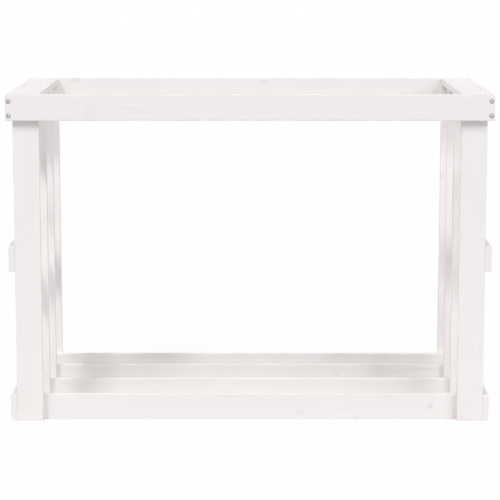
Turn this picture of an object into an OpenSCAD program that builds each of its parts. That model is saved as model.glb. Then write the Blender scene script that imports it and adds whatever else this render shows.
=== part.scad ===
// Outdoor log rack in white-painted pine: an open frame of eased boards on edge, held by screws.
// Origin at the middle of the footprint on the floor, X along the front, +Y to the back, Z up.
// The same side of the rack is built once at +X and mirrored for the left.

/* [Overall] */
// Length of the rack along the front
rack_w = 1080; // [800:10:1400]
// Depth from the front of the front rail to the back of the rear rail
rack_d = 520; // [420:10:640]
// Height from the floor to the top edges
rack_h = 740; // [600:10:900]

/* [Boards] */
// Width of every board across its broad face
board_w = 58; // [55:1:70]
// Thickness of the posts, rails and cap boards
board_t = 15; // [13:0.5:18]
// Thickness of the six boards outside the posts
side_t = 14; // [13:0.5:18]
// Height of the lower edge of the middle side boards
middle_z = 342; // [200:1:440]
// Radius planed on the long edges
edge_r = 2.5; // [1:0.5:3]
// Radius sanded on the sawn ends
end_r = 1.2; // [0.6:0.2:2]

/* [Screw places] */
// Upper edge of a board down to its upper screw
screw_drop = 15; // [12:1:17]
// Distance between the two screws of a pair
pair_gap = 32; // [24:1:34]
// Inner edge of a post out to its base rail screws
base_screw_in = 19; // [12:1:22]

/* [Large screws] */
// Head diameter
head_d = 10.6; // [8:0.2:11.4]
// Head height
head_h = 2.4; // [2:0.2:3]
// Shank diameter
shank_d = 4.6; // [3.6:0.2:5.4]
// Length of the screws through the top rails
rail_screw_l = 60; // [40:1:80]
// Length of the screws through the side boards
side_screw_l = 42; // [30:1:44]

/* [Small screws] */
// Head diameter
small_head_d = 8; // [6:0.2:8.8]
// Head height
small_head_h = 2; // [1.6:0.2:2.6]
// Shank diameter
small_shank_d = 3.8; // [3:0.2:4.2]
// Length of the screws through the base rails
base_screw_l = 26; // [20:1:27]
// Length of the screws into the cap boards
cap_screw_l = 42; // [30:1:50]

/* [Screw fit] */
// Depth that the heads are let into the wood
head_sink = 1.2; // [0.6:0.2:1.6]
// Height of the straight rim below the dome of a head
rim_h = 0.8; // [0.4:0.1:1.2]
// Length of the tapered point
point_l = 6; // [4:1:8]
// Width of each slot of the cross recess
slot_w = 1.3; // [0.9:0.1:1.6]
// Depth of the cross recess
slot_deep = 1.2; // [0.8:0.1:1.4]
// Gap between a screw and the wood around it
fit_gap = 0.2; // [0.1:0.05:0.3]

/* [Hidden] */
$fn = 48;

// Half sizes, and the planes that the boards meet on, worked out for the +X side
half_w = rack_w / 2;
half_d = rack_d / 2;
post_out = half_w - side_t;             // outer edge of the posts, inner face of the side boards
post_in = post_out - board_w;           // inner edge of the posts and cap boards
post_mid = (post_out + post_in) / 2;
post_h = rack_h - board_t;              // the cap boards lie on the posts
side_l = rack_d - 2 * board_t;          // side boards and caps run between the two top rails
base_rail_l = 2 * post_out;

// Middle planes of the posts, counted from the front
post_count = 4;
first_post_y = -half_d + 1.5 * board_t;
post_pitch = -2 * first_post_y / (post_count - 1);
function post_y(i) = first_post_y + (i - 1) * post_pitch;

// Base rails lie against the back of posts 1 to 3 and the front of post 4
function rail_side(i) = i < post_count ? 1 : -1;
function rail_y(i) = post_y(i) + rail_side(i) * board_t;

// Heights of the lower edges of the side boards
top_z = rack_h - board_w;
bottom_z = 0;

// Heights of the screws
function upper_z(z) = z + board_w - screw_drop;
function pair_zs(z) = [upper_z(z), upper_z(z) - pair_gap];
top_screw_z = upper_z(top_z) - pair_gap / 2;    // between the two rail screws, which pass at right angles
cap_screw_z = rack_h - board_t / 2;
rail_screw_x = half_w - side_t / 2;
base_screw_x = post_in + base_screw_in;

// Shares of a screw's own sizes, and how far a cut runs past the face that it opens
tip_share = 0.25;                       // blunt tip, of the shank's diameter
slot_share = 0.56;                      // recess slot, of the head's diameter
cut_past = 1;

paint = [0.95, 0.945, 0.93];
steel = [0.66, 0.67, 0.68];

// Rectangle with rounded corners, about its middle
module eased_rect(a, b, r) {
    square([a - 2 * r, b], center = true);
    square([a, b - 2 * r], center = true);
    for (x = [-1, 1], y = [-1, 1])
        translate([x * (a / 2 - r), y * (b / 2 - r)])
            circle(r);
}

// Board along X, its width along Y and its thickness along Z, eased on all twelve edges
module plank(l, w, t) {
    intersection() {
        rotate([90, 0, 90])
            linear_extrude(l, center = true)
                eased_rect(w, t, edge_r);
        rotate([90, 0, 0])
            linear_extrude(w, center = true)
                eased_rect(l, t, end_r);
        linear_extrude(t, center = true)
            eased_rect(l, w, end_r);
    }
}

// The three ways that a board stands in the rack, about its own middle
module rail_plank(l) {
    rotate([90, 0, 0]) plank(l, board_w, board_t);
}

module post_plank(l) {
    rotate([0, -90, 90]) plank(l, board_w, board_t);
}

module side_plank(l) {
    rotate([90, 0, 90]) plank(l, board_w, side_t);
}

// Screw pointing down -Z, with the face of the wood at z = 0
module screw(l, hd, hh, sd) {
    seat = -head_sink;
    neck = seat - l + hh + point_l;             // where the tapered point meets the shank
    dome_h = hh - rim_h;
    dome_r = (hd * hd / 4 + dome_h * dome_h) / (2 * dome_h);
    difference() {
        union() {
            translate([0, 0, neck - point_l])
                cylinder(h = point_l, r1 = tip_share * sd / 2, r2 = sd / 2);
            translate([0, 0, neck])
                cylinder(h = seat + rim_h / 2 - neck, d = sd);
            intersection() {
                translate([0, 0, seat])
                    cylinder(h = hh, d = hd);
                translate([0, 0, seat + hh - dome_r])
                    sphere(dome_r);
            }
        }
        for (a = [0, 90])
            rotate([0, 0, a])
                translate([-slot_share * hd / 2, -slot_w / 2, seat + hh - slot_deep])
                    cube([slot_share * hd, slot_w, slot_deep + cut_past]);
    }
}

// Room that the same screw takes in the wood
module screw_room(l, hd, hh, sd) {
    floor_z = -head_sink - l + hh - fit_gap;
    translate([0, 0, -head_sink])
        cylinder(h = head_sink + cut_past, d = hd + 2 * fit_gap);
    translate([0, 0, floor_z])
        cylinder(h = -floor_z, d = sd + 2 * fit_gap);
}

module large_screw(l) { screw(l, head_d, head_h, shank_d); }
module large_room(l) { screw_room(l, head_d, head_h, shank_d); }
module small_screw(l) { screw(l, small_head_d, small_head_h, small_shank_d); }
module small_room(l) { screw_room(l, small_head_d, small_head_h, small_shank_d); }

// Places of the screws: each repeats its children at every screw of one kind
module at_front_rail_screws() {
    for (x = [-1, 1], z = pair_zs(top_z))
        translate([x * rail_screw_x, -half_d, z])
            rotate([90, 0, 0])
                children();
}

module at_side(y, z) {
    translate([half_w, y, z])
        rotate([0, 90, 0])
            children();
}

// The screws that join the right side boards to post i
module at_side_screws(i) {
    at_side(post_y(i), top_screw_z)
        children();
    for (z = concat(pair_zs(middle_z), pair_zs(bottom_z)))
        at_side(post_y(i), z)
            children();
}

// The screws from the right top board into the cap board, halfway between the posts
module at_cap_screws() {
    for (i = [1 : post_count - 1])
        at_side(post_y(i) + post_pitch / 2, cap_screw_z)
            children();
}

// The screws from base rail i into its two posts
module at_base_screws(i) {
    for (x = [-1, 1], z = pair_zs(bottom_z))
        translate([x * base_screw_x, rail_y(i) + rail_side(i) * board_t / 2, z])
            rotate([-90 * rail_side(i), 0, 0])
                children();
}

// Top rails, on edge across the whole front and back
module top_rail() {
    color(paint)
        difference() {
            translate([0, -half_d + board_t / 2, rack_h - board_w / 2])
                rail_plank(rack_w);
            at_front_rail_screws()
                large_room(rail_screw_l);
        }
}

module front_top_rail() { top_rail(); }
module rear_top_rail() { mirror([0, 1, 0]) top_rail(); }

// Cap board, lying flat on the posts of one side
module cap_board() {
    color(paint)
        difference() {
            translate([post_mid, 0, rack_h - board_t / 2])
                rotate([0, 0, 90])
                    plank(side_l, board_w, board_t);
            at_cap_screws()
                small_room(cap_screw_l);
        }
}

module right_cap_board() { cap_board(); }
module left_cap_board() { mirror([1, 0, 0]) cap_board(); }

// Post i of one side, standing with its broad face to the front
module post(i) {
    color(paint)
        difference() {
            translate([post_mid, post_y(i), post_h / 2])
                post_plank(post_h);
            at_side_screws(i)
                large_room(side_screw_l);
            at_base_screws(i)
                small_room(base_screw_l);
        }
}

module right_post(i) { post(i); }
module left_post(i) { mirror([1, 0, 0]) post(i); }

// Board outside the posts of one side, with its lower edge at height z
module side_board(z) {
    color(paint)
        difference() {
            translate([half_w - side_t / 2, 0, z + board_w / 2])
                side_plank(side_l);
            for (i = [1 : post_count])
                at_side_screws(i)
                    large_room(side_screw_l);
            at_cap_screws()
                small_room(cap_screw_l);
            at_front_rail_screws()
                large_room(rail_screw_l);
            mirror([0, 1, 0])
                at_front_rail_screws()
                    large_room(rail_screw_l);
        }
}

module right_side_board(z) { side_board(z); }
module left_side_board(z) { mirror([1, 0, 0]) side_board(z); }

// Base rail i, on edge on the floor between the bottom side boards
module base_rail(i) {
    color(paint)
        difference() {
            translate([0, rail_y(i), board_w / 2])
                rail_plank(base_rail_l);
            at_base_screws(i)
                small_room(base_screw_l);
        }
}

// Screws, one node for each kind and side
module front_rail_screws() {
    color(steel)
        at_front_rail_screws()
            large_screw(rail_screw_l);
}

module rear_rail_screws() { mirror([0, 1, 0]) front_rail_screws(); }

module right_side_screws() {
    color(steel)
        for (i = [1 : post_count])
            at_side_screws(i)
                large_screw(side_screw_l);
}

module left_side_screws() { mirror([1, 0, 0]) right_side_screws(); }

module right_cap_screws() {
    color(steel)
        at_cap_screws()
            small_screw(cap_screw_l);
}

module left_cap_screws() { mirror([1, 0, 0]) right_cap_screws(); }

module base_rail_screws() {
    color(steel)
        for (i = [1 : post_count])
            at_base_screws(i)
                small_screw(base_screw_l);
}

front_top_rail();
rear_top_rail();
left_cap_board();
right_cap_board();
left_post(1);  // left_post_1
left_post(2);  // left_post_2
left_post(3);  // left_post_3
left_post(4);  // left_post_4
right_post(1);  // right_post_1
right_post(2);  // right_post_2
right_post(3);  // right_post_3
right_post(4);  // right_post_4
left_side_board(top_z);  // left_top_board
left_side_board(middle_z);  // left_middle_board
left_side_board(bottom_z);  // left_bottom_board
right_side_board(top_z);  // right_top_board
right_side_board(middle_z);  // right_middle_board
right_side_board(bottom_z);  // right_bottom_board
base_rail(1);  // base_rail_1
base_rail(2);  // base_rail_2
base_rail(3);  // base_rail_3
base_rail(4);  // base_rail_4
front_rail_screws();
rear_rail_screws();
left_side_screws();
right_side_screws();
left_cap_screws();
right_cap_screws();
base_rail_screws();
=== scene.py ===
import math

import bpy
import numpy as np
from mathutils import Matrix, Vector


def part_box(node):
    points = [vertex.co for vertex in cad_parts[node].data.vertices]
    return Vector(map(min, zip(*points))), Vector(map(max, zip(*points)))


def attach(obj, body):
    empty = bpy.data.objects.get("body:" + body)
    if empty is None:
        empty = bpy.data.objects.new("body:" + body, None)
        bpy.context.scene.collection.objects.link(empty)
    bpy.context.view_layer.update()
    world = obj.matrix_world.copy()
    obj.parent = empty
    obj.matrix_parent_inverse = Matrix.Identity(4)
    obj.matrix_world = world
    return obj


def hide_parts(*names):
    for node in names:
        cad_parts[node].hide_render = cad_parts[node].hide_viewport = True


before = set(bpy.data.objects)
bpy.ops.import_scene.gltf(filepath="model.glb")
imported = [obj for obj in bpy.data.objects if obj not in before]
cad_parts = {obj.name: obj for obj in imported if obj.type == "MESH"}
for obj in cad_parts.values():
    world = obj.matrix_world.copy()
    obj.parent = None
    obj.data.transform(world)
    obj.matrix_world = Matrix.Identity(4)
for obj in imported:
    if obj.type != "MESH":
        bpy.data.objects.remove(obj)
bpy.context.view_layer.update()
scene = bpy.context.scene
scene.view_settings.view_transform = "Standard"


# Viewpoint
# The rack is seen from straight in front and a little above, through a long lens a few metres away.
# The distance and height set how much of the inner faces, the cap boards and the base rails shows.
camera_gap = 4.431
camera_height = 1.087
camera_tilt = math.radians(8.892)
camera_lens = 144.98
front_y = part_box("front_top_rail")[0].y

camera = bpy.data.objects.new("camera", bpy.data.cameras.new("camera"))
camera.data.lens = camera_lens
camera.location = (0, front_y - camera_gap, camera_height)
camera.rotation_euler = (math.pi / 2 - camera_tilt, 0, 0)
scene.collection.objects.link(camera)
scene.camera = camera


# Studio floor and backdrop
# A wide pale floor runs into a white backdrop. The eye and polished metal see both as white, and the
# floor keeps part of the rack's shadow. What they throw back on the rack is ordinary pale daylight.
floor_size = 16
floor_paint = (0.73, 0.73, 0.73, 1)
shadow_share = 0.04
backdrop_light = 0.13


def add(tree, kind, inputs=None, **settings):
    """Adds a shader node with these settings, and joins or sets its inputs."""
    node = tree.nodes.new(kind)
    for name, value in settings.items():
        setattr(node, name, value)
    for socket, value in (inputs or {}).items():
        if isinstance(value, bpy.types.NodeSocket):
            tree.links.new(value, node.inputs[socket])
        else:
            node.inputs[socket].default_value = value
    return node


def maths(tree, operation, a, b=0.0, c=0.0):
    """The result of one sum on sockets or numbers."""
    return add(tree, "ShaderNodeMath", {0: a, 1: b, 2: c}, operation=operation).outputs[0]


def seen_directly(tree):
    """1 for rays from the eye, and for those that metal or glass sends on."""
    path = add(tree, "ShaderNodeLightPath")
    seen = maths(tree, "MAXIMUM", path.outputs["Is Camera Ray"], path.outputs["Is Glossy Ray"])
    return maths(tree, "MAXIMUM", seen, path.outputs["Is Transmission Ray"])


def new_material(name):
    """An empty material, its node tree and its output node."""
    material = bpy.data.materials.new(name)
    material.use_nodes = True
    tree = material.node_tree
    tree.nodes.clear()
    return material, tree, add(tree, "ShaderNodeOutputMaterial")


def mesh_of(name, points, faces):
    """A mesh of these vertices and faces."""
    mesh = bpy.data.meshes.new(name)
    mesh.from_pydata(np.asarray(points).tolist(), [], faces)
    mesh.update()
    return mesh


studio_white, tree, output = new_material("studio_white")
matt = add(tree, "ShaderNodeBsdfDiffuse", {"Color": floor_paint}).outputs[0]
glow = add(tree, "ShaderNodeEmission", {"Color": (1, 1, 1, 1), "Strength": 1.0}).outputs[0]
shown = add(tree, "ShaderNodeMixShader", {"Fac": shadow_share, 1: glow, 2: matt}).outputs[0]
mixed = add(tree, "ShaderNodeMixShader", {"Fac": seen_directly(tree), 1: matt, 2: shown}).outputs[0]
tree.links.new(mixed, output.inputs["Surface"])

half_floor = floor_size / 2
floor_corners = [(x * half_floor, y * half_floor, 0) for x, y in ((-1, -1), (1, -1), (1, 1), (-1, 1))]
floor = bpy.data.objects.new("floor", mesh_of("floor", floor_corners, [(0, 1, 2, 3)]))
floor.data.materials.append(studio_white)
scene.collection.objects.link(floor)

scene.world = bpy.data.worlds.new("backdrop")
scene.world.use_nodes = True
tree = scene.world.node_tree
tree.nodes.clear()
soft = add(tree, "ShaderNodeBackground", {"Color": (1, 1, 1, 1), "Strength": backdrop_light}).outputs[0]
white = add(tree, "ShaderNodeBackground", {"Color": (1, 1, 1, 1), "Strength": 1.0}).outputs[0]
sky = add(tree, "ShaderNodeMixShader", {"Fac": seen_directly(tree), 1: soft, 2: white}).outputs[0]
add(tree, "ShaderNodeOutputWorld", {"Surface": sky})


# Studio lamps
# A narrow key lamp in three parts hangs high at the front left, and a softer one stands at the front
# right. Weaker lamps fill in from low down and from the sides, and two wide ones light the far side and
# the inner faces. Each is given by its place round the rack, its height, its spread and its light.
lamps = {
    "key_top": (318, 56, 5, 0.42),
    "key_middle": (322, 52, 5, 0.38),
    "key_foot": (330, 46, 8, 0.63),
    "fill_right": (30, 38, 9, 0.66),
    "fill_low": (45, 18, 18, 0.48),
    "fill_front": (0, 35, 18, 0.10),
    "side_right": (60, 35, 18, 0.30),
    "side_left": (300, 35, 18, 0.36),
    "rear_right": (150, 35, 25, 0.88),
    "rear_left": (225, 18, 25, 0.82),
}
for name, (round_deg, up_deg, spread_deg, light) in lamps.items():
    turn, rise = math.radians(round_deg), math.radians(up_deg)
    back = Vector((math.sin(turn) * math.cos(rise), -math.cos(turn) * math.cos(rise), math.sin(rise)))
    lamp = bpy.data.objects.new(name, bpy.data.lights.new(name, "SUN"))
    lamp.data.energy = light
    lamp.data.angle = math.radians(spread_deg)
    lamp.rotation_mode = "QUATERNION"
    lamp.rotation_quaternion = back.to_track_quat("Z", "Y")
    scene.collection.objects.link(lamp)


# Posts
# Eight pine boards stand four to a side, one behind the other, with their broad faces to the front.
# Each is planed, eased on its edges, sanded at its sawn ends, drilled for its screws and painted white.
edge_radius = 0.0007
end_radius = 0.0005
hole_ease = 0.0012
arc_steps = 6
end_steps = 3
cell_across = 0.0035
cell_along = 0.008
cell_at_knot = 0.0022
mark_reach = 3.4
paint_inset = 0.00008
hole_gap = 0.0002
crushed_rim = 0.0004
hole_steps = 40
board_crease = math.radians(32)

# What tells the parts of a screw's mesh apart: the grid that merges its points, the shares of its head's
# radius that head and rim lie beyond, and how many head heights down the bare shank starts.
merge_grid = 1e5
head_share = 0.8
rim_share = 0.9
shank_start = 1.5

screw_nodes = [name for name in sorted(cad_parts) if name.endswith("screws")]
board_nodes = [name for name in sorted(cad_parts) if not name.endswith("screws")]


def screws_in(node):
    """Each screw of a node: its head's top, its direction, length, and head and shank sizes."""
    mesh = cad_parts[node].data
    points = np.array([v.co for v in mesh.vertices])
    merged = np.unique(np.round(points * merge_grid), axis=0, return_inverse=True)[1].ravel()
    edges = merged[np.array([e.vertices for e in mesh.edges])]
    group = np.arange(merged.max() + 1)
    settled = False
    while not settled:
        before = group.copy()
        lowest = group[edges].min(axis=1)
        np.minimum.at(group, edges[:, 0], lowest)
        np.minimum.at(group, edges[:, 1], lowest)
        settled = (before == group).all()
    found = []
    for g in np.unique(group):
        own = points[group[merged] == g]
        low, high = own.min(axis=0), own.max(axis=0)
        axis = int(np.argmax(high - low))
        middle, length = (low + high) / 2, (high - low)[axis]
        off_axis = np.delete(own - middle, axis, axis=1)
        radius = np.hypot(off_axis[:, 0], off_axis[:, 1])
        along = own[:, axis] - middle[axis]
        head_end = np.sign(along[radius > head_share * radius.max()].mean())
        from_top = length / 2 - along * head_end
        middle[axis] += head_end * length / 2
        direction = np.zeros(3)
        direction[axis] = -head_end
        head_height = from_top[radius > rim_share * radius.max()].max()
        shank_radius = radius[from_top > shank_start * head_height].max()
        found.append((middle, direction, length, radius.max(), head_height, shank_radius))
    return found


screws = {node: screws_in(node) for node in screw_nodes}

ripple_waves = 7
wave_mix = (0.6, 1.5)


def ripple(seed, points, wavelength):
    """Smooth seeded noise from about -1 to 1, as waves in several directions."""
    rng = np.random.default_rng(seed)
    total = np.zeros(len(points))
    for _ in range(ripple_waves):
        direction = rng.normal(size=3)
        direction *= rng.uniform(*wave_mix) / (np.linalg.norm(direction) * wavelength)
        total += np.sin(2 * math.pi * (points @ direction + rng.uniform()))
    return total / (ripple_waves / 2)


def section_ring(width, thick):
    """Points round a board's section with their outward directions, from the middle of one corner,
    and how many cells there are along its width and its thickness."""
    half = arc_steps // 2
    inner = np.array([width, thick]) / 2 - edge_radius
    corners = inner * np.array([(1, 1), (-1, 1), (-1, -1), (1, -1)])
    points, outward, sides = [], [], []
    for k in range(4):
        here, there = corners[k], corners[(k + 1) % 4]
        flat = max(2, round(abs(there - here).max() / cell_across))
        bends = [i / half for i in range(half + 1)] + [1] * (flat - 1) + [1 + i / half for i in range(half)]
        shares = [0] * (half + 1) + [i / flat for i in range(1, flat)] + [1] * half
        for bend, share in zip(bends, shares):
            angle = math.pi / 4 + k * math.pi / 2 + bend * math.pi / 4
            outward.append((math.cos(angle), math.sin(angle)))
            points.append(here + (there - here) * share + edge_radius * np.array(outward[-1]))
        sides.append(flat + arc_steps)
    return np.array(points), np.array(outward), sides[0], sides[1]


def stations(length, knots):
    """Places along a board with how far its section is drawn in there, in end radii."""
    bend = np.linspace(math.pi / 2, 0, end_steps + 1)
    start = [(-length / 2 + end_radius * (1 - math.sin(a)), 1 - math.cos(a)) for a in bend]
    room = length / 2 - end_radius
    places = list(np.linspace(-room, room, max(3, round(2 * room / cell_along)) + 1)[1:-1])
    for along, _, half_length, _, _ in knots:
        reach = 2 * half_length
        fine = along + np.arange(-reach, reach, cell_at_knot)
        places = [p for p in places if abs(p - along) > reach + cell_at_knot] + list(fine)
    places = sorted(p for p in places if abs(p) < room - cell_at_knot)
    finish = [(-x, inset) for x, inset in reversed(start)]
    return start + [(x, 0) for x in places] + finish


def board_surface(size, knots):
    """Vertices, outward directions and faces of a board about its middle, X along it and Z through it."""
    ring, outward, a, b = section_ring(size[1], size[2])
    rows = stations(size[0], knots)
    count = len(ring)
    points, normals = [], []
    for x, inset in rows:
        lean = math.sqrt(max(0, 1 - (1 - inset) ** 2)) * math.copysign(1, x)
        points.append(np.column_stack([np.full(count, x), ring - outward * inset * end_radius]))
        normals.append(np.column_stack([np.full(count, lean), outward * (1 - inset)]))
    points, normals = np.vstack(points), np.vstack(normals)
    i = np.arange(count)
    j = (np.arange(len(rows) - 1) * count)[:, None]
    after = (i + 1) % count
    faces = np.stack([j + i, j + after, j + count + after, j + count + i], axis=-1).reshape(-1, 4).tolist()
    for end, first_row in ((-1, 0), (1, (len(rows) - 1) * count)):
        u, v = np.meshgrid(np.arange(a + 1), np.arange(b + 1), indexing="ij")
        far_side = np.where(v == b, 2 * a + b - u, (2 * a + 2 * b - v) % count)
        index = first_row + np.where(v == 0, u, np.where(u == a, a + v, far_side))
        inner = (u > 0) & (u < a) & (v > 0) & (v < b)
        index[inner] = len(points) + np.arange(inner.sum())
        row = points[first_row:first_row + count]
        y = row[u[inner], 1]
        z = row[(count - v[inner]) % count, 2]
        points = np.vstack([points, np.column_stack([np.full(len(y), row[0, 0]), y, z])])
        normals = np.vstack([normals, np.tile([end, 0, 0], (len(y), 1))])
        quads = np.stack([index[:-1, :-1], index[1:, :-1], index[1:, 1:], index[:-1, 1:]], axis=-1)
        quads = quads.reshape(-1, 4)
        faces += (quads if end > 0 else quads[:, ::-1]).tolist()
    return points, normals, faces


def nearest_mark(points, marks):
    """Each point's offset from the nearest knot or streak, in its half sizes, and how much it shows."""
    offset = np.zeros((len(points), 3))
    best = np.full(len(points), np.inf)
    for along, across, half_length, half_width, tone in marks:
        away = (points[:, :2] - (along, across)) / (half_length, half_width)
        distance = np.hypot(away[:, 0], away[:, 1])
        shows = tone * np.clip(mark_reach - distance, 0, 1)
        mine = distance < best
        offset[mine] = np.column_stack([away, shows])[mine]
        best[mine] = distance[mine]
    return offset


def lathe(profile, steps):
    """Vertices and faces of a closed turned solid about Z, from (radius, height) points up from the axis.
    A radius may be one number, or one for each step round."""
    angle = 2 * math.pi * np.arange(steps) / steps
    points = [np.array([[0, 0, profile[0][1]]])]
    for radius, height in profile[1:-1]:
        ring = [radius * np.cos(angle), radius * np.sin(angle), np.full(steps, height)]
        points.append(np.column_stack(ring))
    points.append(np.array([[0, 0, profile[-1][1]]]))
    last = 1 + steps * (len(profile) - 2)
    i = np.arange(steps)
    after = (i + 1) % steps
    base = 1 + steps * np.arange(len(profile) - 3)[:, None]
    sides = np.stack([base + i, base + after, base + steps + after, base + steps + i], axis=-1)
    faces = [(0, 1 + b, 1 + a) for a, b in zip(i.tolist(), after.tolist())]
    faces += sides.reshape(-1, 4).tolist()
    faces += [(last, last - steps + a, last - steps + b) for a, b in zip(i.tolist(), after.tolist())]
    return np.vstack(points), faces


def join_shapes(shapes):
    """One list of vertices and one of faces from several."""
    points, faces, start = [], [], 0
    for own_points, own_faces in shapes:
        points.append(own_points)
        faces += [tuple(start + i for i in face) for face in own_faces]
        start += len(own_points)
    return np.vstack(points), faces


def cut_away(mesh, cutter):
    """The mesh with the cutter's solids taken out of it."""
    body = bpy.data.objects.new("body", mesh)
    tool = bpy.data.objects.new("tool", cutter)
    for o in (body, tool):
        scene.collection.objects.link(o)
    cut = body.modifiers.new("cut", "BOOLEAN")
    cut.operation = "DIFFERENCE"
    cut.solver = "EXACT"
    cut.object = tool
    bpy.context.view_layer.update()
    made = bpy.data.meshes.new_from_object(body.evaluated_get(bpy.context.evaluated_depsgraph_get()))
    bpy.data.objects.remove(body)
    bpy.data.objects.remove(tool)
    return made


def turn_to(direction):
    """Matrix that turns +Z against a screw's direction, so that a turned solid's top is at its head."""
    return np.array(Vector(-np.asarray(direction)).to_track_quat("Z", "Y").to_matrix())


def write_numbers(mesh, name, kind, values):
    """Stores numbers or vectors on a mesh's vertices for its material to read."""
    field = "vector" if kind == "FLOAT_VECTOR" else "value"
    layer = mesh.attributes.new(name, kind, "POINT")
    layer.data.foreach_set(field, np.asarray(values, np.float32).ravel())


def screw_holes(low, high):
    """Vertices and faces of what the drill and the screw heads took out of a board with these corners."""
    holes = []
    for top, direction, length, head_radius, head_height, shank_radius in sum(screws.values(), []):
        tip = top + direction * length
        reach = shank_radius * (direction == 0)
        if (np.minimum(top, tip) - reach > high).any() or (np.maximum(top, tip) + reach < low).any():
            continue
        bore, room = shank_radius + hole_gap, head_radius + hole_gap
        shape, faces = lathe([
            (0, -length - hole_gap),
            (bore, -length - hole_gap),
            (bore, -head_height),
            (room, -head_height),
            (room, -hole_ease - crushed_rim),
            (room + crushed_rim + hole_ease, 0),
            (room + crushed_rim + hole_ease, hole_ease),
            (0, hole_ease),
        ], hole_steps)
        holes.append((shape @ turn_to(direction).T + top, faces))
    return holes


# Seeds keep a board's skin, wear and growth rings apart, and each pattern has its own wavelength. The
# skin's depth is in paint insets, and the pith that the rings go round lies outside the board.
board_seed = 100
wear_seed = 50
ring_seed = 9
skin_wave = 0.11
wear_wave = 0.07
ring_wave = 0.06
skin_mean = 1.2
skin_swing = 0.6
skin_worn = 3
skin_dish = 1.5
skin_least = 0.1
pith_across = 0.03
pith_away = (0.03, 0.07)
ring_spacing = (0.0024, 0.0038)
ring_slope = (2, 6)
ring_stretch = (0.15, 1, 1)
ring_wobble = 0.9
ring_bend = 1.6
grain_shift = 50
arris_share = 0.6


def make_board(node, knots=(), streaks=()):
    """A painted board of the node's own size, place and screw holes, laid along its longest side.
    A knot or streak is given by its place along and across the board, its half sizes and its tone."""
    low, high = (np.array(corner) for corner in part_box(node))
    order = np.argsort(low - high, kind="stable")
    size = (high - low)[order]
    axes = np.eye(3)[order]
    if np.linalg.det(axes) < 0:
        axes[2] *= -1
    middle = (low + high) / 2
    seed = board_seed + board_nodes.index(node)
    points, normals, faces = board_surface(size, knots)
    arris = np.abs(normals[:, 1] * normals[:, 2]) * 2
    wear = arris * (0.5 + 0.5 * ripple(seed + wear_seed, points, wear_wave))
    knot = nearest_mark(points, knots)
    dish = knot[:, 2] * np.exp(-(knot[:, 0] ** 2 + knot[:, 1] ** 2))
    depth = skin_mean + skin_swing * ripple(seed, points, skin_wave) + skin_worn * wear + skin_dish * dish
    drawn_in = paint_inset * depth.clip(skin_least)
    mesh = mesh_of(node, points - normals * drawn_in[:, None], faces)
    holes = [((shape - middle) @ axes.T, own) for shape, own in screw_holes(low, high)]
    if holes:
        mesh = cut_away(mesh, mesh_of("holes", *join_shapes(holes)))
    local = np.array([v.co for v in mesh.vertices])
    rng = np.random.default_rng(seed)
    pith = np.array([rng.uniform(-pith_across, pith_across), rng.choice([-1, 1]) * rng.uniform(*pith_away)])
    spacing = rng.uniform(*ring_spacing)
    knot = nearest_mark(local, knots)
    bend = np.exp(-(knot[:, 0] ** 2 / 4 + knot[:, 1] ** 2) / 2) * (knot[:, 2] > 0)
    rings = np.hypot(local[:, 1] - pith[0], local[:, 2] - pith[1]) / spacing
    wobble = ripple(seed + ring_seed, local * ring_stretch, ring_wave)
    rings += local[:, 0] * rng.uniform(*ring_slope) + ring_wobble * wobble + ring_bend * bend
    inner = size / 2 - (end_radius, edge_radius, edge_radius)
    past = np.clip((np.abs(local) - inner) / (end_radius, edge_radius, edge_radius), 0, 1)
    write_numbers(mesh, "board_point", "FLOAT_VECTOR", local + rng.uniform(-grain_shift, grain_shift, 3))
    write_numbers(mesh, "rings", "FLOAT", rings)
    write_numbers(mesh, "knot", "FLOAT_VECTOR", knot)
    write_numbers(mesh, "streak", "FLOAT_VECTOR", nearest_mark(local, streaks))
    write_numbers(mesh, "arris", "FLOAT", np.clip(np.minimum(past[:, 1], past[:, 2]) / arris_share, 0, 1))
    write_numbers(mesh, "end_grain", "FLOAT", past[:, 0])
    mesh.shade_smooth()
    mesh.set_sharp_from_angle(angle=board_crease)
    mesh.materials.clear()
    mesh.materials.append(painted_pine)
    board = bpy.data.objects.new(node + "_painted", mesh)
    board.matrix_world = Matrix.Translation(Vector(middle)) @ Matrix(axes.T.tolist()).to_4x4()
    scene.collection.objects.link(board)
    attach(board, "root")
    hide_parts(node)


paint_white = (0.875, 0.841, 0.838, 1)
ghost_line = (0.80, 0.768, 0.755, 1)
knot_stain = (0.60, 0.565, 0.55, 1)
bare_pine = (0.74, 0.58, 0.39, 1)
paint_roughness = 0.56
paint_gloss = 0.04
painted_pine, tree, output = new_material("painted_pine")


def attribute(tree, name):
    """A number or vector stored on the mesh."""
    return add(tree, "ShaderNodeAttribute", attribute_name=name)


def grain_noise(tree, point, stretch, detail=2.0):
    """Noise with so many waves per metre along, across and through the board."""
    scaled = add(tree, "ShaderNodeVectorMath", {0: point, 1: stretch}, operation="MULTIPLY").outputs[0]
    return add(tree, "ShaderNodeTexNoise", {"Vector": scaled, "Scale": 1.0, "Detail": detail}).outputs["Fac"]


def ramp(tree, value, low, high, to_low=0.0, to_high=1.0):
    """A smooth step from one level to another."""
    inputs = {"Value": value, "From Min": low, "From Max": high, "To Min": to_low, "To Max": to_high}
    return add(tree, "ShaderNodeMapRange", inputs, interpolation_type="SMOOTHSTEP").outputs[0]


def tint(tree, share, under, over):
    """One colour laid over another by a share."""
    return add(tree, "ShaderNodeMix", {0: share, 6: under, 7: over}, data_type="RGBA").outputs[2]


def mark_parts(tree, name, ragged):
    """Distance from a knot or streak in its half sizes, made ragged, and how much it shows."""
    parts = add(tree, "ShaderNodeSeparateXYZ", {0: attribute(tree, name).outputs["Vector"]})
    squares = [maths(tree, "MULTIPLY", parts.outputs[i], parts.outputs[i]) for i in (0, 1)]
    distance = maths(tree, "SQRT", maths(tree, "ADD", *squares))
    return maths(tree, "ADD", distance, ragged), parts.outputs[2]


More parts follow.
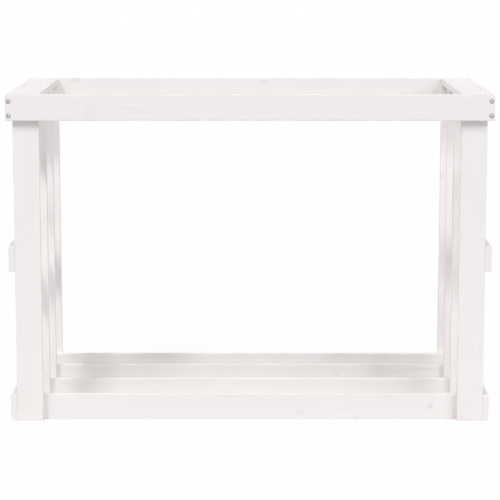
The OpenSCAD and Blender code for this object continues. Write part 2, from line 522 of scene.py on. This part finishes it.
point = attribute(tree, "board_point").outputs["Vector"]
cloud = grain_noise(tree, point, (2.2, 11, 11))
fibre = grain_noise(tree, point, (28, 1500, 1500), 3.0)
stroke = grain_noise(tree, point, (45, 420, 420))
peel = grain_noise(tree, point, (650, 650, 650), 1.0)
sway = grain_noise(tree, point, (7, 60, 60))

rings = maths(tree, "MULTIPLY_ADD", sway, 0.9, attribute(tree, "rings").outputs["Fac"])
wave = maths(tree, "SINE", maths(tree, "MULTIPLY", rings, 2 * math.pi))
late_wood = ramp(tree, wave, 0.2, 1.0)

ragged = maths(tree, "MULTIPLY_ADD", grain_noise(tree, point, (160, 260, 260)), 0.5, -0.25)
knot_distance, knot_tone = mark_parts(tree, "knot", ragged)
knot_core = maths(tree, "MULTIPLY", ramp(tree, knot_distance, 1.1, 0.7), knot_tone)
knot_halo = maths(tree, "MULTIPLY", ramp(tree, knot_distance, 2.9, 0.5), knot_tone)
from_rim = maths(tree, "ABSOLUTE", maths(tree, "SUBTRACT", knot_distance, 0.95))
knot_rim = maths(tree, "MULTIPLY", ramp(tree, from_rim, 0.28, 0.0), knot_tone)
streak_distance, streak_tone = mark_parts(tree, "streak", ragged)
streak_shade = maths(tree, "MULTIPLY", ramp(tree, streak_distance, 1.5, 0.3), streak_tone)

thin = maths(tree, "MULTIPLY", attribute(tree, "arris").outputs["Fac"], ramp(tree, stroke, 0.56, 0.72))
end_grain = attribute(tree, "end_grain").outputs["Fac"]

colour = paint_white
for share, strength, over in (
    (ramp(tree, cloud, 0.3, 0.75), 0.22, ghost_line),
    (late_wood, 0.17, ghost_line),
    (streak_shade, 0.22, knot_stain),
    (knot_halo, 0.16, knot_stain),
    (knot_core, 0.22, knot_stain),
    (knot_rim, 0.20, knot_stain),
    (thin, 0.10, bare_pine),
    (end_grain, 0.35, ghost_line),
):
    colour = tint(tree, maths(tree, "MULTIPLY", share, strength), colour, over)

shine = maths(tree, "MULTIPLY_ADD", fibre, 0.14, paint_roughness)
shine = maths(tree, "MULTIPLY_ADD", late_wood, -0.05, shine)
shine = maths(tree, "MULTIPLY_ADD", end_grain, 0.16, shine)

height = maths(tree, "MULTIPLY", late_wood, 0.00004)
for pattern, depth in (
    (fibre, 0.00003),
    (stroke, 0.00004),
    (peel, 0.000012),
    (knot_core, -0.00009),
    (knot_rim, 0.00007),
):
    height = maths(tree, "MULTIPLY_ADD", pattern, depth, height)
relief = add(tree, "ShaderNodeBump", {"Height": height, "Distance": 1.0, "Strength": 1.0})
paint = add(tree, "ShaderNodeBsdfPrincipled", {
    "Base Color": colour,
    "Roughness": shine,
    "Normal": relief.outputs[0],
    "Specular IOR Level": paint_gloss,
})
tree.links.new(paint.outputs[0], output.inputs["Surface"])

post_knots = {
    "left_post_2": [(0.215, -0.014, 0.006, 0.005, 0.7)],
    "left_post_3": [(-0.180, -0.017, 0.008, 0.006, 0.8), (0.118, -0.006, 0.004, 0.0035, 0.6)],
    "left_post_4": [(0.052, -0.018, 0.007, 0.0055, 0.8)],
    "right_post_2": [(-0.262, 0.010, 0.0065, 0.005, 0.8)],
    "right_post_3": [(0.190, 0.016, 0.007, 0.006, 0.7)],
    "right_post_4": [(0.140, -0.024, 0.005, 0.004, 0.8), (-0.096, 0.015, 0.008, 0.006, 0.7)],
}
for side in ("left", "right"):
    for number in (1, 2, 3, 4):
        make_board(f"{side}_post_{number}", post_knots.get(f"{side}_post_{number}", ()))


# Side boards
# Three boards at each end run from front to back outside the posts, at the top, the middle and the floor.
# Each post is screwed to them from outside, so that an end of the rack is one stiff ladder.
side_knots = {
    "left_top_board": [(0.108, 0.009, 0.009, 0.007, 0.8)],
    "left_middle_board": [(-0.148, -0.006, 0.007, 0.006, 0.8), (0.186, 0.012, 0.005, 0.004, 0.6)],
    "left_bottom_board": [(0.033, 0.004, 0.010, 0.007, 0.7)],
    "right_top_board": [(-0.131, -0.010, 0.006, 0.005, 0.7)],
    "right_middle_board": [(0.012, 0.014, 0.008, 0.006, 0.8)],
    "right_bottom_board": [(-0.187, 0.008, 0.006, 0.005, 0.7), (0.137, -0.007, 0.009, 0.007, 0.8)],
}
for side in ("left", "right"):
    for level in ("top", "middle", "bottom"):
        make_board(f"{side}_{level}_board", side_knots[f"{side}_{level}_board"])


# Base rails
# Four boards on edge on the floor join the two ends, and the logs lie across them clear of the ground.
# The first three lie against the back of their posts, and the last against the front of post 4. Screws
# at each end hold them to the posts.
rail_knots = {
    1: [
        (0.409, 0.002, 0.005, 0.0045, 1.0),
        (0.114, -0.015, 0.009, 0.005, 0.4),
        (0.243, -0.026, 0.004, 0.003, 0.7),
    ],
    2: [(-0.225, -0.006, 0.006, 0.005, 0.3)],
    3: [(0.210, 0.005, 0.005, 0.004, 0.45)],
    4: [(-0.322, -0.008, 0.006, 0.005, 0.3), (0.061, 0.005, 0.004, 0.0035, 0.3)],
}
rail_streaks = {
    1: [(-0.048, 0.024, 0.026, 0.003, 0.6)],
    3: [(0.335, 0.013, 0.040, 0.002, 0.6), (0.430, 0.019, 0.035, 0.0025, 0.8)],
}
for number in (1, 2, 3, 4):
    make_board(f"base_rail_{number}", rail_knots[number], rail_streaks.get(number, ()))


# Cap boards
# A board lies flat on the posts of each end, between the two top rails and level with their top edges.
# It is held by screws through the top side board.
cap_marks = {
    "left": [
        (0.146, -0.018, 0.010, 0.003, 0.4),
        (-0.015, -0.024, 0.008, 0.003, 0.4),
        (-0.043, 0.010, 0.008, 0.004, 0.5),
    ],
    "right": [(0.161, -0.006, 0.007, 0.004, 0.5), (-0.112, 0.011, 0.006, 0.004, 0.2)],
}
for side in ("left", "right"):
    make_board(f"{side}_cap_board", cap_marks[side])


# Top rails
# One board on edge runs across the whole front, in front of the posts, and one across the whole back,
# behind them. Each is held by two screws at either end, in the end grain of the top side boards.
front_streaks = [
    (-0.268, -0.0016, 0.027, 0.0020, 0.7),
    (-0.245, -0.0107, 0.027, 0.0020, 0.7),
    (-0.168, 0.0040, 0.022, 0.0016, 0.35),
    (-0.355, -0.0120, 0.016, 0.0220, 0.35),
]
make_board("front_top_rail", streaks=front_streaks)
make_board("rear_top_rail", [(-0.429, 0.0255, 0.008, 0.004, 0.8), (0.0335, 0.022, 0.006, 0.003, 0.6)])


# Screws
# Pan head wood screws of dull zinc-plated steel: a headed blank with a cross pressed into its dome and a
# coarse thread rolled on its shank. Their heads are drawn a little way into the painted wood.
# A head's colour darkens from its middle out to its rim: painted shade for the dark reflection of the dome's
# steep sides. Noise spots of real grime are laid on top with the same darker zinc.
zinc = (0.60, 0.60, 0.605, 1)
grime_and_rim_shade_zinc = (0.30, 0.295, 0.29, 1)
rim_shade_start = 0.0018
rim_shade_full = 0.0052
screw_steel, tree, output = new_material("screw_steel")
point = attribute(tree, "screw_point").outputs["Vector"]
parts = add(tree, "ShaderNodeSeparateXYZ", {0: point})
grime = add(tree, "ShaderNodeTexNoise", {"Vector": point, "Scale": 900.0, "Detail": 3.0}).outputs["Fac"]
squares = [maths(tree, "MULTIPLY", parts.outputs[i], parts.outputs[i]) for i in (0, 1)]
radius = maths(tree, "SQRT", maths(tree, "ADD", *squares))
circles = {"W": radius, "Scale": 9000.0, "Detail": 2.0}
turning = add(tree, "ShaderNodeTexNoise", circles, noise_dimensions="1D").outputs["Fac"]
spots = maths(tree, "MULTIPLY", ramp(tree, grime, 0.35, 0.8), 0.3)
# Painted shade towards the rim between these two radii, plus the grime spots.
grime_and_rim_shade = maths(tree, "MULTIPLY_ADD", ramp(tree, radius, rim_shade_start, rim_shade_full), 0.7, spots)
height = maths(tree, "MULTIPLY", turning, 0.000006)
height = maths(tree, "MULTIPLY_ADD", grime, 0.000008, height)
metal = add(tree, "ShaderNodeBsdfPrincipled", {
    "Base Color": tint(tree, grime_and_rim_shade, zinc, grime_and_rim_shade_zinc),
    "Metallic": 1.0,
    "Roughness": maths(tree, "MULTIPLY_ADD", grime, 0.2, 0.58),
    "Normal": add(tree, "ShaderNodeBump", {"Height": height, "Distance": 1.0}).outputs[0],
})
tree.links.new(metal.outputs[0], output.inputs["Surface"])

rim_height = 0.0008
soft_edge = 0.00025
head_steps = 36
dome_steps = 8
plain_shank = 0.3
thread_pitch = 0.0024
thread_depth = 0.3
thread_flank = 2.4
rows_per_pitch = 6
point_length = 0.006
recess_reach = 0.62
recess_width = 0.15
recess_depth = 0.7
recess_mouth = (1.2, 1.1)
recess_floor = (0.45, 0.7)
screw_crease = math.radians(35)
size_digits = 6
screw_seed = 7


def recess_arm(head_radius, head_height, angle):
    """A block that narrows downwards from above the dome, for one arm of the cross."""
    half_sizes = np.array([recess_reach, recess_width]) * head_radius
    corners = np.array([(-1, -1), (1, -1), (1, 1), (-1, 1)]) * half_sizes
    points = [(x, y, soft_edge * 2) for x, y in corners * recess_mouth]
    points += [(x, y, -recess_depth * head_height) for x, y in corners * recess_floor]
    faces = [(0, 1, 2, 3), (7, 6, 5, 4), (0, 4, 5, 1), (1, 5, 6, 2), (2, 6, 7, 3), (3, 7, 4, 0)]
    return mesh_of("arm", np.array(points) @ np.array(Matrix.Rotation(angle, 3, "Z")).T, faces)


def screw_mesh(length, head_radius, head_height, shank_radius):
    """A screw with its head's top at the origin and its point down Z."""
    turn = np.arange(head_steps) / head_steps
    thread_top = -head_height - plain_shank * (length - head_height)
    profile = [(0, -length)]
    for z in np.arange(-length + soft_edge, thread_top, thread_pitch / rows_per_pitch):
        ridge = np.clip(1 - thread_flank * np.abs((z / thread_pitch + turn) % 1 - 0.5), 0, 1)
        fade = min(1, (thread_top - z) / thread_pitch)
        narrow = min(1, (z + length) / point_length)
        profile.append((shank_radius * narrow * (1 - thread_depth * (1 - ridge) * fade), z))
    dome = head_height - rim_height
    ball = (head_radius ** 2 + dome ** 2) / (2 * dome)
    profile += [
        (shank_radius, thread_top),
        (shank_radius, -head_height - soft_edge),
        (shank_radius + soft_edge, -head_height),
        (head_radius - soft_edge, -head_height),
        (head_radius, -head_height + soft_edge),
    ]
    for angle in np.linspace(math.asin(head_radius / ball), 0, dome_steps):
        profile.append((ball * math.sin(angle), ball * (math.cos(angle) - 1)))
    profile[-1] = (0, 0)
    mesh = mesh_of("screw", *lathe(profile, head_steps))
    for angle in (0, math.pi / 2):
        mesh = cut_away(mesh, recess_arm(head_radius, head_height, angle))
    return mesh


made = {}
for node in screw_nodes:
    shapes, own_points = [], []
    rng = np.random.default_rng(screw_seed + screw_nodes.index(node))
    for top, direction, *sizes in screws[node]:
        kind = tuple(round(float(v), size_digits) for v in sizes)
        if kind not in made:
            pattern = screw_mesh(*kind)
            corners = np.array([v.co for v in pattern.vertices])
            made[kind] = corners, [tuple(p.vertices) for p in pattern.polygons]
        shape, faces = made[kind]
        twist = np.array(Matrix.Rotation(rng.uniform(0, math.pi / 2), 3, "Z"))
        shapes.append(((shape @ twist.T) @ turn_to(direction).T + top, faces))
        own_points.append(shape + (0, 0, rng.uniform(-1, 1)))
    mesh = mesh_of(node, *join_shapes(shapes))
    write_numbers(mesh, "screw_point", "FLOAT_VECTOR", np.vstack(own_points))
    mesh.shade_smooth()
    mesh.set_sharp_from_angle(angle=screw_crease)
    mesh.materials.append(screw_steel)
    group = bpy.data.objects.new(node + "_steel", mesh)
    scene.collection.objects.link(group)
    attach(group, "root")
    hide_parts(node)
